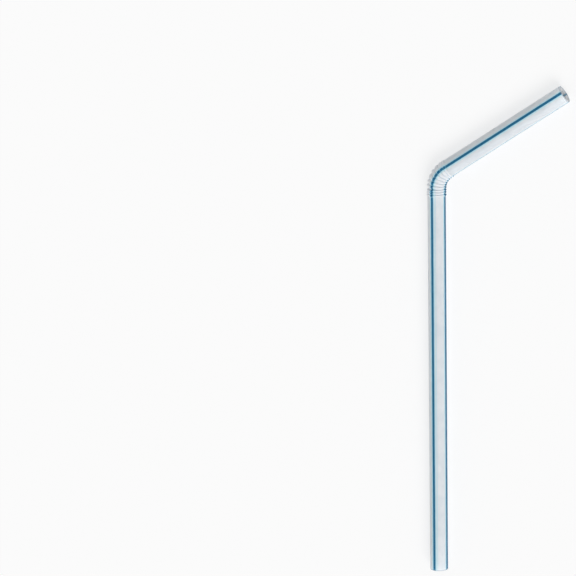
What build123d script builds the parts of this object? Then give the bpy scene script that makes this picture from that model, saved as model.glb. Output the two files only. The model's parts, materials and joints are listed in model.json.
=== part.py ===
"""A bendy drinking straw: one plastic tube with a band of folds, bent at the folds, lying flat."""

import os
from math import cos, radians, sin

from build123d import *

os.makedirs("parts", exist_ok=True)

# The tube, in millimetres
outer_diameter = 6.35
tube_wall = 0.2
leg_length = 136.0  # plain tube from the foot to the first fold
arm_length = 48.5  # plain tube from the last fold to the mouth

# The neck: closed folds beside the leg, open folds round the bend, closed folds beside the arm
bend_angle = 56.0  # degrees that the arm turns away from the leg's line
bend_radius = 8.2  # of the neck's centre line
leg_folds = 3
bend_folds = 6
arm_folds = 1
closed_pitch = 0.89  # from one closed fold to the next
crest_rise = 0.27  # how far a fold stands out from the tube
fold_depth = 0.5  # from a fold's crest down to the valley beside it
fold_wall = 0.3  # square to the centre line, which is about 0.16 across a sloping flank
land_share = 0.16  # the blunt top of a fold, as a share of its pitch

outer_radius = outer_diameter / 2
bore_radius = outer_radius - tube_wall
crest_radius = outer_radius + crest_rise
valley_radius = crest_radius - fold_depth
bend_length = bend_radius * radians(bend_angle)
leg_band = leg_folds * closed_pitch
arm_band = arm_folds * closed_pitch
bend_start = leg_length + leg_band
bend_end = bend_start + bend_length
arm_start = bend_end + arm_band

# The bend plane lies level, one crest above the ground, and the origin is below the box's middle
arm_x = sin(radians(bend_angle))
arm_y = cos(radians(bend_angle))
mouth_x = bend_radius * (1 - arm_y) + (arm_band + arm_length) * arm_x
mouth_y = bend_start + bend_radius * arm_x + (arm_band + arm_length) * arm_y
lowest_x = -crest_radius
highest_x = mouth_x + outer_radius * arm_y
highest_y = mouth_y + outer_radius * arm_x
foot_x = -(lowest_x + highest_x) / 2
foot_y = -highest_y / 2


def station(distance):
    """The plane square to the centre line, this far along it from the foot."""
    turned = min(max(distance - bend_start, 0), bend_length) / bend_radius
    before = min(distance, bend_start)
    beyond = max(distance - bend_end, 0)
    along = (sin(turned), cos(turned))
    x = foot_x + bend_radius * (1 - cos(turned)) + beyond * along[0]
    y = foot_y + before + bend_radius * sin(turned) + beyond * along[1]
    return Plane(origin=(x, y, crest_radius), x_dir=(0, 0, 1), z_dir=(*along, 0))


def fold_pitches():
    """Where each fold starts along the centre line, and its pitch."""
    bend_pitch = bend_length / bend_folds
    folds = [(leg_length + i * closed_pitch, closed_pitch) for i in range(leg_folds)]
    folds += [(bend_start + i * bend_pitch, bend_pitch) for i in range(bend_folds)]
    folds += [(bend_end + i * closed_pitch, closed_pitch) for i in range(arm_folds)]
    return folds


def neck_rings():
    """The neck's outer circles from leg to arm: a distance and a radius for each."""
    rings = [(leg_length, outer_radius)]
    for start, pitch in fold_pitches():
        half_land = pitch * land_share / 2
        middle = start + pitch / 2
        if start > leg_length:
            rings += [(start - half_land, valley_radius), (start + half_land, valley_radius)]
        rings += [(middle - half_land, crest_radius), (middle + half_land, crest_radius)]
    return rings + [(arm_start, outer_radius)]


def neck_bore(distance, radius):
    """The radius inside the wall at one of the neck's circles."""
    at_end = distance in (leg_length, arm_start)
    return bore_radius if at_end else radius - fold_wall


with BuildPart() as straw:
    # The leg and the arm are plain tube, cut square at their free ends
    for start, length in ((0, leg_length), (arm_start, arm_length)):
        with BuildSketch(station(start)):
            Circle(outer_radius)
            Circle(bore_radius, mode=Mode.SUBTRACT)
        extrude(amount=length)

    # The neck's folds run from circle to circle round the bend, outside and then inside
    for distance, radius in neck_rings():
        with BuildSketch(station(distance)):
            Circle(radius)
    loft(ruled=True)
    for distance, radius in neck_rings():
        with BuildSketch(station(distance)):
            Circle(neck_bore(distance, radius))
    loft(ruled=True, mode=Mode.SUBTRACT)

straw.part.label = "straw"
export_step(straw.part, "parts/straw.step")
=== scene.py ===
import json
from math import ceil, cos, degrees, hypot, pi, radians, sin, tan

import bpy
import numpy as np
from mathutils import Matrix, Vector


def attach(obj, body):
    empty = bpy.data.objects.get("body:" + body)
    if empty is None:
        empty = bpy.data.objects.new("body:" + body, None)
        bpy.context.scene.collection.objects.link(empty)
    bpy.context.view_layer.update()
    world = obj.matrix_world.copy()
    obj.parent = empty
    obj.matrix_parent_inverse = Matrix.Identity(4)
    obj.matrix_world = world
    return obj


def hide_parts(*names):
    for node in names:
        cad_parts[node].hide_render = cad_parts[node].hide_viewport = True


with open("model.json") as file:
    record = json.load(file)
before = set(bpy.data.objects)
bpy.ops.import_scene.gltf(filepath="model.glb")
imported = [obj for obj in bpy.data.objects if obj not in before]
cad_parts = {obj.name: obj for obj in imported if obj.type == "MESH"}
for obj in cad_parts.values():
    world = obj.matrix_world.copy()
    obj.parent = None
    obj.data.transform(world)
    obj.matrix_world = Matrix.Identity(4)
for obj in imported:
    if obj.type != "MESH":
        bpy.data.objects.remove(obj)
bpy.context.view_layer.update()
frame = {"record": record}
mounts = {mount["name"]: mount for mount in frame["record"]["mounts"]}
print("frame loaded")

# lengths in metres, angles in degrees
tubeShape = {
    "facesAround": 112,
    "ringSpacing": 0.003,
    "edgeRound": 0.00005,  # the cut ends' soft edge
    "edgeSteps": 4,
    "pictureRows": 4,  # of the square OFBake map
    "pictureMargin": 0.012,
}
neckShape = {
    "legFolds": 3,  # closed folds beside the leg
    "bendFolds": 6,  # folds round the bend, open on its outside
    "armFolds": 1,  # closed folds beside the arm
    "closedPitch": 0.00089,
    "openPitch": 0.0019,  # the pitch at which a fold is fully open
    "crestRise": 0.00027,  # how far a crest stands out from the tube
    "crestLoss": 0.00004,  # how much lower the lowest crest is
    "foldDepth": 0.00038,  # from a crest down to the valley beside it
    "hingeDepth": 0.0005,  # how much deeper the valley is where the bend starts
    "hingeBluntness": 1.0,
    "hingeMiddle": 0.5,  # the share of that depth halfway between the bend's inside and outside
    "hingeSlope": 0.7,  # how fast the share grows towards the outside
    "foldWall": 0.0003,  # square to the centre line
    "crestPlace": 0.56,  # where in its pitch a fold has its crest
    "crestShift": 0.05,  # how far that place varies from fold to fold
    "shiftTurn": 2.3,  # radians from fold to fold, so that no two folds are the same
    "lossTurn": 1.7,  # the same for the crests' height
    "closedBluntness": 2.1,  # a closed fold has a broad crest and a slit beside it
    "openBluntness": 1.7,  # an open one is nearly a ridge
    "ringsInFold": 18,
    "valleyGather": 0.11,  # how much closer together the rings are in the valleys
}

# the centre line comes from the frame's own mounts
footPoint = Vector(mounts["leg_outside"]["pos_m"])
mouthPoint = Vector(mounts["arm_outside"]["pos_m"])
legWay = -Vector(mounts["leg_outside"]["axis"]).normalized()  # from the foot to the neck
armWay = Vector(mounts["arm_outside"]["axis"]).normalized()  # from the neck to the mouth
legLength = mounts["leg_outside"]["dims"]["length_mm"] / 1000
armLength = mounts["arm_outside"]["dims"]["length_mm"] / 1000
tubeRadius = mounts["leg_outside"]["dims"]["r_mm"] / 1000
boreRadius = mounts["foot_bore"]["dims"]["r_mm"] / 1000
upWay = Vector((0, 0, 1))

# the leg's line and the arm's line meet at a corner, and the bend's arc touches both
bendAngle = legWay.angle(armWay)
legBand = neckShape["legFolds"] * neckShape["closedPitch"]
armBand = neckShape["armFolds"] * neckShape["closedPitch"]
neckEnd = mouthPoint - armWay * armLength
acrossLeg = (armWay - legWay * armWay.dot(legWay)).normalized()
cornerToArm = (neckEnd - footPoint).dot(acrossLeg) / armWay.dot(acrossLeg)
bendRadius = (cornerToArm - armBand) / tan(bendAngle / 2)
bendLength = bendRadius * bendAngle
bendStart = legLength + legBand
bendEnd = bendStart + bendLength
armStart = bendEnd + armBand
strawLength = armStart + armLength
print(f"bend of {degrees(bendAngle):.1f} degrees and {bendRadius * 1000:.2f} mm,",
      f"straw of {strawLength * 1000:.1f} mm")


def centreLine(distance):
    # the point this far along from the foot, and the way from it to the outside of the bend
    turned = min(max(distance - bendStart, 0), bendLength) / bendRadius
    along = legWay * cos(turned) + acrossLeg * sin(turned)
    outside = legWay * sin(turned) - acrossLeg * cos(turned)
    point = footPoint + legWay * (min(distance, bendStart) + bendRadius * sin(turned))
    point += acrossLeg * (bendRadius * (1 - cos(turned)))
    return point + along * max(distance - bendEnd, 0), outside


turns = np.arange(tubeShape["facesAround"]) / tubeShape["facesAround"]  # round the tube, from its top
outward = np.sin(2 * pi * turns)  # 1 on the outside of the bend and -1 on its inside
roundTube = np.ones(tubeShape["facesAround"])


def foldList():
    # where each fold starts, and its pitch
    closed = neckShape["closedPitch"]
    bendPitch = bendLength / neckShape["bendFolds"]
    folds = [(legLength + i * closed, closed) for i in range(neckShape["legFolds"])]
    folds += [(bendStart + i * bendPitch, bendPitch) for i in range(neckShape["bendFolds"])]
    return folds + [(bendEnd + i * closed, closed) for i in range(neckShape["armFolds"])]


def foldRing(index, start, pitch, phase):
    # one ring of a fold: its distance, its radius all round, and how near it is to the crest
    bends = start + pitch / 2 > bendStart and start + pitch / 2 < bendEnd
    localPitch = pitch * (1 + outward * tubeRadius / bendRadius) if bends else pitch * roundTube
    closed = neckShape["closedPitch"]
    openShare = np.clip((localPitch - closed) / (neckShape["openPitch"] - closed), 0, 1)
    bluntness = neckShape["closedBluntness"] * (1 - openShare) + neckShape["openBluntness"] * openShare
    place = neckShape["crestPlace"] + neckShape["crestShift"] * sin(neckShape["shiftTurn"] * index)
    fromCrest = (place - phase) / place if phase < place else (phase - place) / (1 - place)
    beforeHinge = index == neckShape["legFolds"] - 1 and phase > place
    afterHinge = index == neckShape["legFolds"] and phase < place
    hinge = 0 * roundTube
    if beforeHinge or afterHinge:
        hinge = np.clip(neckShape["hingeMiddle"] + neckShape["hingeSlope"] * outward, 0, 1)
    bluntness = bluntness + (neckShape["hingeBluntness"] - bluntness) * hinge
    depthShare = fromCrest ** bluntness
    lossShare = 0.5 + 0.5 * sin(neckShape["lossTurn"] * index)
    crest = tubeRadius + neckShape["crestRise"] - neckShape["crestLoss"] * lossShare
    valley = crest - neckShape["foldDepth"] - neckShape["hingeDepth"] * hinge
    lastFold = len(foldList()) - 1
    if (index == 0 and phase < place) or (index == lastFold and phase > place):
        valley = tubeRadius * roundTube  # the neck's two ends come down to the plain tube
    return start + pitch * phase, crest + (valley - crest) * depthShare, 1 - depthShare


def tubeRings():
    # outer rings from the foot to the mouth: distance, radius all round, share of crest
    spacing = tubeShape["ringSpacing"]
    soft = tubeShape["edgeRound"]
    legPlaces = np.linspace(soft, legLength, ceil(legLength / spacing) + 1)[:-1]
    armPlaces = np.linspace(armStart, strawLength - soft, ceil(armLength / spacing) + 1)[1:]
    rings = [(place, tubeRadius * roundTube, 0 * roundTube) for place in legPlaces]
    steps = neckShape["ringsInFold"]
    for index, (start, pitch) in enumerate(foldList()):
        for step in range(steps):
            even = step / steps
            phase = even - neckShape["valleyGather"] * sin(2 * pi * even)
            rings.append(foldRing(index, start, pitch, phase))
    rings.append((armStart, tubeRadius * roundTube, 0 * roundTube))
    return rings + [(place, tubeRadius * roundTube, 0 * roundTube) for place in armPlaces]


def wallAt(distance):
    # the wall is thicker, square to the centre line, where it slopes in the folds
    tubeWall = tubeRadius - boreRadius
    blend = neckShape["closedPitch"] / 3  # it thickens over a third of a closed fold
    fromEnd = min(distance - legLength, armStart - distance) / blend
    return tubeWall + (neckShape["foldWall"] - tubeWall) * min(max(fromEnd, 0), 1)


def allRings():
    # one closed loop: out along the outer skin, round the mouth's edge, back inside, round the foot's
    soft = tubeShape["edgeRound"]
    quarter = [pi / 2 * step / tubeShape["edgeSteps"] for step in range(1, tubeShape["edgeSteps"] + 1)]
    outer = tubeRings()
    inner = [(s, radius - wallAt(s), crest) for s, radius, crest in reversed(outer)]
    plain = 0 * roundTube
    mouthOut = [(strawLength - soft * (1 - sin(a)), tubeRadius - soft * (1 - cos(a))) for a in quarter]
    back = [0] + quarter[:-1]
    mouthIn = [(strawLength - soft * (1 - cos(a)), boreRadius + soft * (1 - sin(a))) for a in back]
    footIn = [(soft * (1 - sin(a)), boreRadius + soft * (1 - cos(a))) for a in quarter]
    footOut = [(soft * (1 - cos(a)), tubeRadius - soft * (1 - sin(a))) for a in back]
    rings = [(*ring, 0) for ring in outer]
    rings += [(s, radius * roundTube, plain, 0) for s, radius in mouthOut]
    rings += [(s, radius * roundTube, plain, 1) for s, radius in mouthIn]
    rings += [(*ring, 1) for ring in inner]
    rings += [(s, radius * roundTube, plain, 1) for s, radius in footIn]
    return rings + [(s, radius * roundTube, plain, 0) for s, radius in footOut]


def stripRows(lengths):
    # the skin's whole loop in rows on a square map: each ring's row, each row's start, the longest row
    rowLength = lengths[-1] / tubeShape["pictureRows"]
    rows = [min(int(length / rowLength), tubeShape["pictureRows"] - 1) for length in lengths[:-1]]
    starts = [lengths[rows.index(row)] for row in range(tubeShape["pictureRows"])]
    spans = [lengths[i + 1] - starts[row] for i, row in enumerate(rows)]
    return rows, starts, max(spans)


def strawMesh():
    rings = allRings()
    around = tubeShape["facesAround"]
    points, crests, insides, places = [], [], [], []
    lengths = [0.0]  # along the skin from the first ring
    for distance, radius, crest, inside in rings:
        centre, outside = centreLine(distance)
        upPart = np.outer(radius * np.cos(2 * pi * turns), upWay)
        outPart = np.outer(radius * outward, outside)
        points.append(np.array(centre) + upPart + outPart)
        crests.append(crest)
        insides.append(inside * roundTube)
        places.append(distance)
    ringCount = len(rings)
    means = [(ring[0], ring[1].mean()) for ring in rings]
    for before, after in zip(means, means[1:] + means[:1]):
        lengths.append(lengths[-1] + hypot(after[0] - before[0], after[1] - before[1]))
    rows, starts, widest = stripRows(lengths)
    margin = tubeShape["pictureMargin"]
    inner = 1 - 2 * margin
    rowCount = tubeShape["pictureRows"]
    faces, uvs, pictureUvs = [], [], []
    for i in range(ringCount):
        after = (i + 1) % ringCount
        for j in range(around):
            beside = (j + 1) % around
            here, there = i * around, after * around
            faces.append((here + j, there + j, there + beside, here + beside))
            low, high = places[i] / strawLength, places[after] / strawLength
            turned, turnedMore = j / around, (j + 1) / around
            uvs += [(turned, low), (turned, high), (turnedMore, high), (turnedMore, low)]
            within = [(lengths[k] - starts[rows[i]]) / widest for k in (i, i + 1)]
            left, right = (margin + inner * share for share in within)
            bottom, top = ((rows[i] + margin + inner * share) / rowCount for share in (turned, turnedMore))
            pictureUvs += [(left, bottom), (right, bottom), (right, top), (left, top)]
    mesh = bpy.data.meshes.new("straw")
    mesh.from_pydata(np.concatenate(points).tolist(), [], faces)
    for name, corners in (("aroundAndAlong", uvs), ("OFBake", pictureUvs)):
        mesh.uv_layers.new(name=name).data.foreach_set("uv", np.array(corners, np.float32).ravel())
    for name, values in (("foldCrest", crests), ("insideSkin", insides)):
        mesh.attributes.new(name, "FLOAT", "POINT").data.foreach_set(
            "value", np.concatenate(values).astype(np.float32))
    mesh.polygons.foreach_set("use_smooth", [True] * len(faces))
    mesh.update()
    return mesh


drinkingStraw = bpy.data.objects.new("drinkingStraw", strawMesh())
bpy.context.scene.collection.objects.link(drinkingStraw)
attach(drinkingStraw, "root")
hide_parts("straw")
print(f"straw built with {len(drinkingStraw.data.polygons)} faces")


class Flow:
    # a socket in an expression: values add Math nodes, and colours go through mixColour
    def __init__(self, tree, socket):
        self.tree = tree
        self.socket = socket

    def maths(self, operation, first, second=None, clamp=False):
        inputs = {0: first} if second is None else {0: first, 1: second}
        settings = {"operation": operation, "use_clamp": clamp}
        return addNode(self.tree, "ShaderNodeMath", settings, inputs)

    def __add__(self, other):
        return self.maths("ADD", self, other)

    def __radd__(self, other):
        return self.maths("ADD", other, self)

    def __sub__(self, other):
        return self.maths("SUBTRACT", self, other)

    def __rsub__(self, other):
        return self.maths("SUBTRACT", other, self)

    def __mul__(self, other):
        return self.maths("MULTIPLY", self, other)

    def __rmul__(self, other):
        return self.maths("MULTIPLY", other, self)

    def only(self, operation):
        return self.maths(operation, self)

    def fade(self, low, high, atLow=0, atHigh=1):
        # runs smoothly from atLow to atHigh as the value goes from low to high
        values = {"Value": self, "From Min": low, "From Max": high, "To Min": atLow, "To Max": atHigh}
        return addNode(self.tree, "ShaderNodeMapRange", {"interpolation_type": "SMOOTHSTEP"}, values)


def addNode(tree, kind, settings=None, values=None, output=0):
    # a node of this type: its settings are set first, then the values or links of its sockets
    node = tree.nodes.new(kind)
    for name, value in (settings or {}).items():
        setattr(node, name, value)
    for name, value in (values or {}).items():
        if isinstance(value, Flow):
            tree.links.new(value.socket, node.inputs[name])
        else:
            node.inputs[name].default_value = value
    return Flow(tree, node.outputs[output]) if len(node.outputs) else node


def mixColour(tree, share, first, second):
    # 6 and 7 are the Mix node's colour inputs, and 2 is its colour output
    return addNode(tree, "ShaderNodeMix", {"data_type": "RGBA"}, {0: share, 6: first, 7: second}, output=2)


def colour(code):
    # a web colour as linear red, green, blue and alpha
    parts = [int(code[i:i + 2], 16) / 255 for i in (0, 2, 4)]
    return (*[part / 12.92 if part <= 0.04045 else ((part + 0.055) / 1.055) ** 2.4 for part in parts], 1)


def newMaterial(name):
    material = bpy.data.materials.new(name)
    material.use_nodes = True
    material.node_tree.nodes.clear()
    return material, material.node_tree


# widths in millimetres, angles in degrees round the tube
strawFinish = {
    "plastic": "eaf3fe",
    "plasticCloud": "e2edf9",  # where the plastic is a little thinner
    "cloudScale": 260,
    "cloudLow": 0.35,  # where in the noise the cloud starts
    "cloudHigh": 0.7,
    # painted light: the inside skin is whiter than the outside, to lift the shade inside the tube
    "plasticInsideLit": "f8fafd",
    # painted shade: grey at both cut ends for the rim's dark outline
    "cutEdgeShade": "98a2ac",
    "cutEdgeShadeShare": 0.6,
    "cutEdgeShadeWidth": 0.42,
    "foldWhiteAndHighlight": "f8f9fd",  # plastic whitens where it is folded, and the crests are also painted lighter as a painted highlight on the ridges
    "foldWhiteningAndHighlight": 0.4,
    "stripeCore": "005a82",
    "stripeEdge": "007aa4",
    "stripeCoreShare": 0.6,
    "stripeCoreLines": 0.5,  # how much the draw lines vary that share
    "stripeWornAndLit": "7fc0d6",  # lighter between two folds: partly creased pigment, partly a painted highlight for the light gaps along the folded stripe
    "stripeWearAndHighlight": 0.6,
    "wearHighlightLow": 0.1,  # how near to the crest the wear and painted highlight start to fade
    "wearHighlightHigh": 0.6,
    "neckBorder": 0.2,  # over which the wear and painted highlight start and end
    "stripeInside": "3f86a4",  # seen through the wall
    "stripeGlow": "bdeaff",  # a pale blue band in the clear plastic beside a stripe
    "stripeCover": 0.97,
    "stripeInsideCover": 0.8,
    "stripeCount": 4,
    "innerStripe": 3,  # the one on the inside of the bend, where 0 is on top
    "stripeTurn": 15.5,  # from the top towards the outside of the bend
    "stripeSpread": 7.0,
    "spreadMiddle": -26.0,  # the stripes stand furthest apart about here
    "stripeWidth": 0.86,
    "innerExtra": 0.9,  # the share by which the leg's stripe on the bend's inside is wider
    "stripeWander": 0.06,
    "wanderScale": 34,
    "wanderApart": 7,  # in the noise, so that each stripe wanders by itself
    "stripeSoftness": 0.07,
    "glowStart": 0.12,  # beyond the stripe's edge, where the glow starts to fade
    "glowWidth": 0.62,  # where it has faded
    "drawLinesRound": 24,
    "drawLinesAlong": 3,
    "grainScale": 2600,
    "grainShare": 0.25,  # of the bump, the rest being draw lines
    "roughness": 0.32,
    "lineRoughness": 0.16,
    "cloudRoughness": 0.08,
    "stripeGloss": 0.05,
}


def strawPlastic():
    finish = strawFinish
    material, tree = newMaterial("stripedPolypropylene")
    skin = addNode(tree, "ShaderNodeUVMap", {"uv_map": "aroundAndAlong"})
    turn = addNode(tree, "ShaderNodeSeparateXYZ", None, {"Vector": skin}, output="X")
    along = Flow(tree, turn.socket.node.outputs["Y"])
    crest = addNode(tree, "ShaderNodeAttribute", {"attribute_name": "foldCrest"}, output="Fac")
    inside = addNode(tree, "ShaderNodeAttribute", {"attribute_name": "insideSkin"}, output="Fac")
    place = addNode(tree, "ShaderNodeTexCoord", output="Object")

    # lines drawn along the tube by the die, which change slowly on the way
    angle = turn * (2 * pi)
    dieLine = addNode(tree, "ShaderNodeCombineXYZ", None, {
        "X": angle.only("COSINE") * finish["drawLinesRound"],
        "Y": angle.only("SINE") * finish["drawLinesRound"],
        "Z": along * finish["drawLinesAlong"],
    })
    drawLines = addNode(tree, "ShaderNodeTexNoise", None, {"Vector": dieLine, "Scale": 1, "Detail": 3})
    cloud = addNode(tree, "ShaderNodeTexNoise", None, {
        "Vector": place, "Scale": finish["cloudScale"], "Detail": 3})
    grain = addNode(tree, "ShaderNodeTexNoise", None, {
        "Vector": place, "Scale": finish["grainScale"], "Detail": 2})

    # distance from the middle of the nearest stripe, round the tube
    stripeGap = 2 * pi * tubeRadius * 1000 / finish["stripeCount"]
    spread = (angle - radians(finish["spreadMiddle"])).only("SINE") * (finish["stripeSpread"] / 360)
    count = (turn - spread - finish["stripeTurn"] / 360) * finish["stripeCount"] + 0.5
    stripeNumber = count.only("FLOOR")
    wanderPlace = addNode(tree, "ShaderNodeCombineXYZ", None, {
        "X": stripeNumber * finish["wanderApart"], "Y": along * finish["wanderScale"]})
    wander = addNode(tree, "ShaderNodeTexNoise", None, {"Vector": wanderPlace, "Scale": 1, "Detail": 2})
    across = count.only("FRACT") - 0.5
    onLeg = along.fade(legLength / strawLength, armStart / strawLength, 1, 0)
    isInner = stripeNumber.maths("GREATER_THAN", stripeNumber, finish["innerStripe"] - 0.5)
    wider = isInner * onLeg * finish["innerExtra"] + 1
    fromMiddle = (across * stripeGap + (wander - 0.5) * finish["stripeWander"]).only("ABSOLUTE")
    halfWidth = finish["stripeWidth"] / 2
    fromEdge = fromMiddle - wider * halfWidth  # less than 0 within the stripe
    soft = finish["stripeSoftness"] / 2
    stripe = fromEdge.fade(-soft, soft, 1, 0)
    stripeDeep = fromEdge.fade(-halfWidth, 0, 1, 0)
    glow = fromEdge.fade(finish["glowStart"], finish["glowWidth"], 1, 0)

    clouded = cloud.fade(finish["cloudLow"], finish["cloudHigh"])
    white = mixColour(tree, clouded, colour(finish["plastic"]), colour(finish["plasticCloud"]))
    # crests lighter: partly stress whitening, partly a painted highlight on the ridges
    foldedAndLit = mixColour(tree, crest * finish["foldWhiteningAndHighlight"], white, colour(finish["foldWhiteAndHighlight"]))
    border = finish["neckBorder"] / 1000
    pastLeg = along.fade((legLength - border) / strawLength, legLength / strawLength)
    beforeArm = along.fade(armStart / strawLength, (armStart + border) / strawLength, 1, 0)
    glowing = mixColour(tree, glow, foldedAndLit, colour(finish["stripeGlow"]))
    core = stripeDeep * (drawLines * finish["stripeCoreLines"] + finish["stripeCoreShare"])
    stripeBlue = mixColour(tree, core, colour(finish["stripeEdge"]), colour(finish["stripeCore"]))
    # the stripe painted lighter in the valleys between crests: partly crease wear, partly a painted highlight
    creaseAndHighlight = pastLeg * beforeArm * crest.fade(finish["wearHighlightLow"], finish["wearHighlightHigh"], 1, 0)
    wornAndLitShare = creaseAndHighlight * finish["stripeWearAndHighlight"]
    stripeWornAndLit = mixColour(tree, wornAndLitShare, stripeBlue, colour(finish["stripeWornAndLit"]))
    outerSkin = mixColour(tree, stripe * finish["stripeCover"], glowing, stripeWornAndLit)
    stripeInside = stripe * finish["stripeInsideCover"]
    # the inside skin's whiter plastic is painted light against the shade inside the tube
    innerSkin = mixColour(
        tree, stripeInside, colour(finish["plasticInsideLit"]), colour(finish["stripeInside"]))
    bothSkins = mixColour(tree, inside, outerSkin, innerSkin)
    # painted shade: both cut ends are painted grey where the rim shows a dark outline
    endShadeSpan = finish["cutEdgeShadeWidth"] / 1000 / strawLength
    endShadeMask = along.fade(endShadeSpan / 2, endShadeSpan, 1, 0) + along.fade(1 - endShadeSpan, 1 - endShadeSpan / 2)
    surface = mixColour(tree, endShadeMask * finish["cutEdgeShadeShare"], bothSkins, colour(finish["cutEdgeShade"]))

    unevenGloss = (drawLines - 0.5) * finish["lineRoughness"] + (cloud - 0.5) * finish["cloudRoughness"]
    rough = unevenGloss + finish["roughness"] - stripe * finish["stripeGloss"]
    height = drawLines * (1 - finish["grainShare"]) + grain * finish["grainShare"]
    bump = addNode(tree, "ShaderNodeBump", None, {"Strength": 0.35, "Distance": 0.00003, "Height": height})
    shader = addNode(tree, "ShaderNodeBsdfPrincipled", None, {
        "Base Color": surface,
        "Roughness": rough,
        "Normal": bump,
        "IOR": 1.49,
        "Specular IOR Level": 0.2,
        "Subsurface Weight": 0.7,
        "Subsurface Radius": (1, 1, 1),
        "Subsurface Scale": 0.0007,
    })
    addNode(tree, "ShaderNodeOutputMaterial", None, {"Surface": shader})
    return material


drinkingStraw.data.materials.append(strawPlastic())
print("plastic made")

studio = {
    "floorHalf": 3.0,  # metres
    "floorColour": "fafafa",
    "floorGlow": 0.7,  # how much of the floor's whiteness is its own, seen by the camera
    "skyLevel": 0.54,
    "keyLevel": 0.5,
    "keySoftness": 40,
    "keyWay": (0.40, -0.51, 0.76),  # from the object to the lamp
}


def seenShare(tree):
    # 1 for what the camera sees by itself, in a reflection or through glass
    path = addNode(tree, "ShaderNodeLightPath").socket.node
    camera, glossy, through = (
        Flow(tree, path.outputs[name]) for name in ("Is Camera Ray", "Is Glossy Ray", "Is Transmission Ray"))
    return camera.maths("ADD", camera + glossy, through, clamp=True)


def floorMaterial():
    material, tree = newMaterial("paleFloor")
    matte = addNode(tree, "ShaderNodeBsdfDiffuse", None, {"Color": colour(studio["floorColour"])})
    white = addNode(tree, "ShaderNodeEmission", None, {"Color": (1, 1, 1, 1), "Strength": 1})
    share = seenShare(tree) * studio["floorGlow"]
    both = addNode(tree, "ShaderNodeMixShader", None, {0: share, 1: matte, 2: white})
    addNode(tree, "ShaderNodeOutputMaterial", None, {"Surface": both})
    return material


def makeStudio():
    half = studio["floorHalf"]
    corners = [(-half, -half, 0), (half, -half, 0), (half, half, 0), (-half, half, 0)]
    mesh = bpy.data.meshes.new("floor")
    mesh.from_pydata(corners, [], [(0, 1, 2, 3)])
    mesh.materials.append(floorMaterial())
    floor = bpy.data.objects.new("floor", mesh)
    bpy.context.scene.collection.objects.link(floor)

    lamp = bpy.data.lights.new("keyLamp", "SUN")
    lamp.energy = studio["keyLevel"] * pi
    lamp.angle = radians(studio["keySoftness"])
    key = bpy.data.objects.new("keyLamp", lamp)
    key.rotation_mode = "QUATERNION"
    key.rotation_quaternion = Vector(studio["keyWay"]).to_track_quat("Z", "Y")
    bpy.context.scene.collection.objects.link(key)

    world = bpy.data.worlds.new("paleRoom")
    world.use_nodes = True
    tree = world.node_tree
    tree.nodes.clear()
    sky = addNode(tree, "ShaderNodeBackground", None, {"Color": (1, 1, 1, 1), "Strength": studio["skyLevel"]})
    white = addNode(tree, "ShaderNodeBackground", None, {"Color": (1, 1, 1, 1), "Strength": 1})
    both = addNode(tree, "ShaderNodeMixShader", None, {0: seenShare(tree), 1: sky, 2: white})
    addNode(tree, "ShaderNodeOutputWorld", None, {"Surface": both})
    bpy.context.scene.world = world


makeStudio()
print("studio made")

# the target and distances in metres, the lens and sensor in millimetres
cameraView = {
    "target": (-0.07505, 0.0128, 0.003445),
    "distance": 1.181,
    "azimuth": 46.56,
    "elevation": 70.04,
    "roll": -1.04,
    "lens": 209.5,
    "sensorWidth": 36,
    "clipEnd": 20,
}


def makeCamera():
    az, el, roll = (radians(cameraView[name]) for name in ("azimuth", "elevation", "roll"))
    back = Vector((cos(el) * cos(az), cos(el) * sin(az), sin(el)))
    top = (legWay - back * legWay.dot(back)).normalized()  # the leg runs up the frame
    right = top.cross(back)
    rolledRight = right * cos(roll) + top * sin(roll)
    rolledTop = top * cos(roll) - right * sin(roll)
    data = bpy.data.cameras.new("camera")
    data.lens = cameraView["lens"]
    data.sensor_width = cameraView["sensorWidth"]
    data.clip_end = cameraView["clipEnd"]
    camera = bpy.data.objects.new("camera", data)
    turned = Matrix((rolledRight, rolledTop, back)).transposed().to_4x4()
    eye = Vector(cameraView["target"]) + back * cameraView["distance"]
    camera.matrix_world = Matrix.Translation(eye) @ turned
    bpy.context.scene.collection.objects.link(camera)
    bpy.context.scene.camera = camera


makeCamera()
bpy.context.scene.view_settings.view_transform = "Standard"
print("camera made")
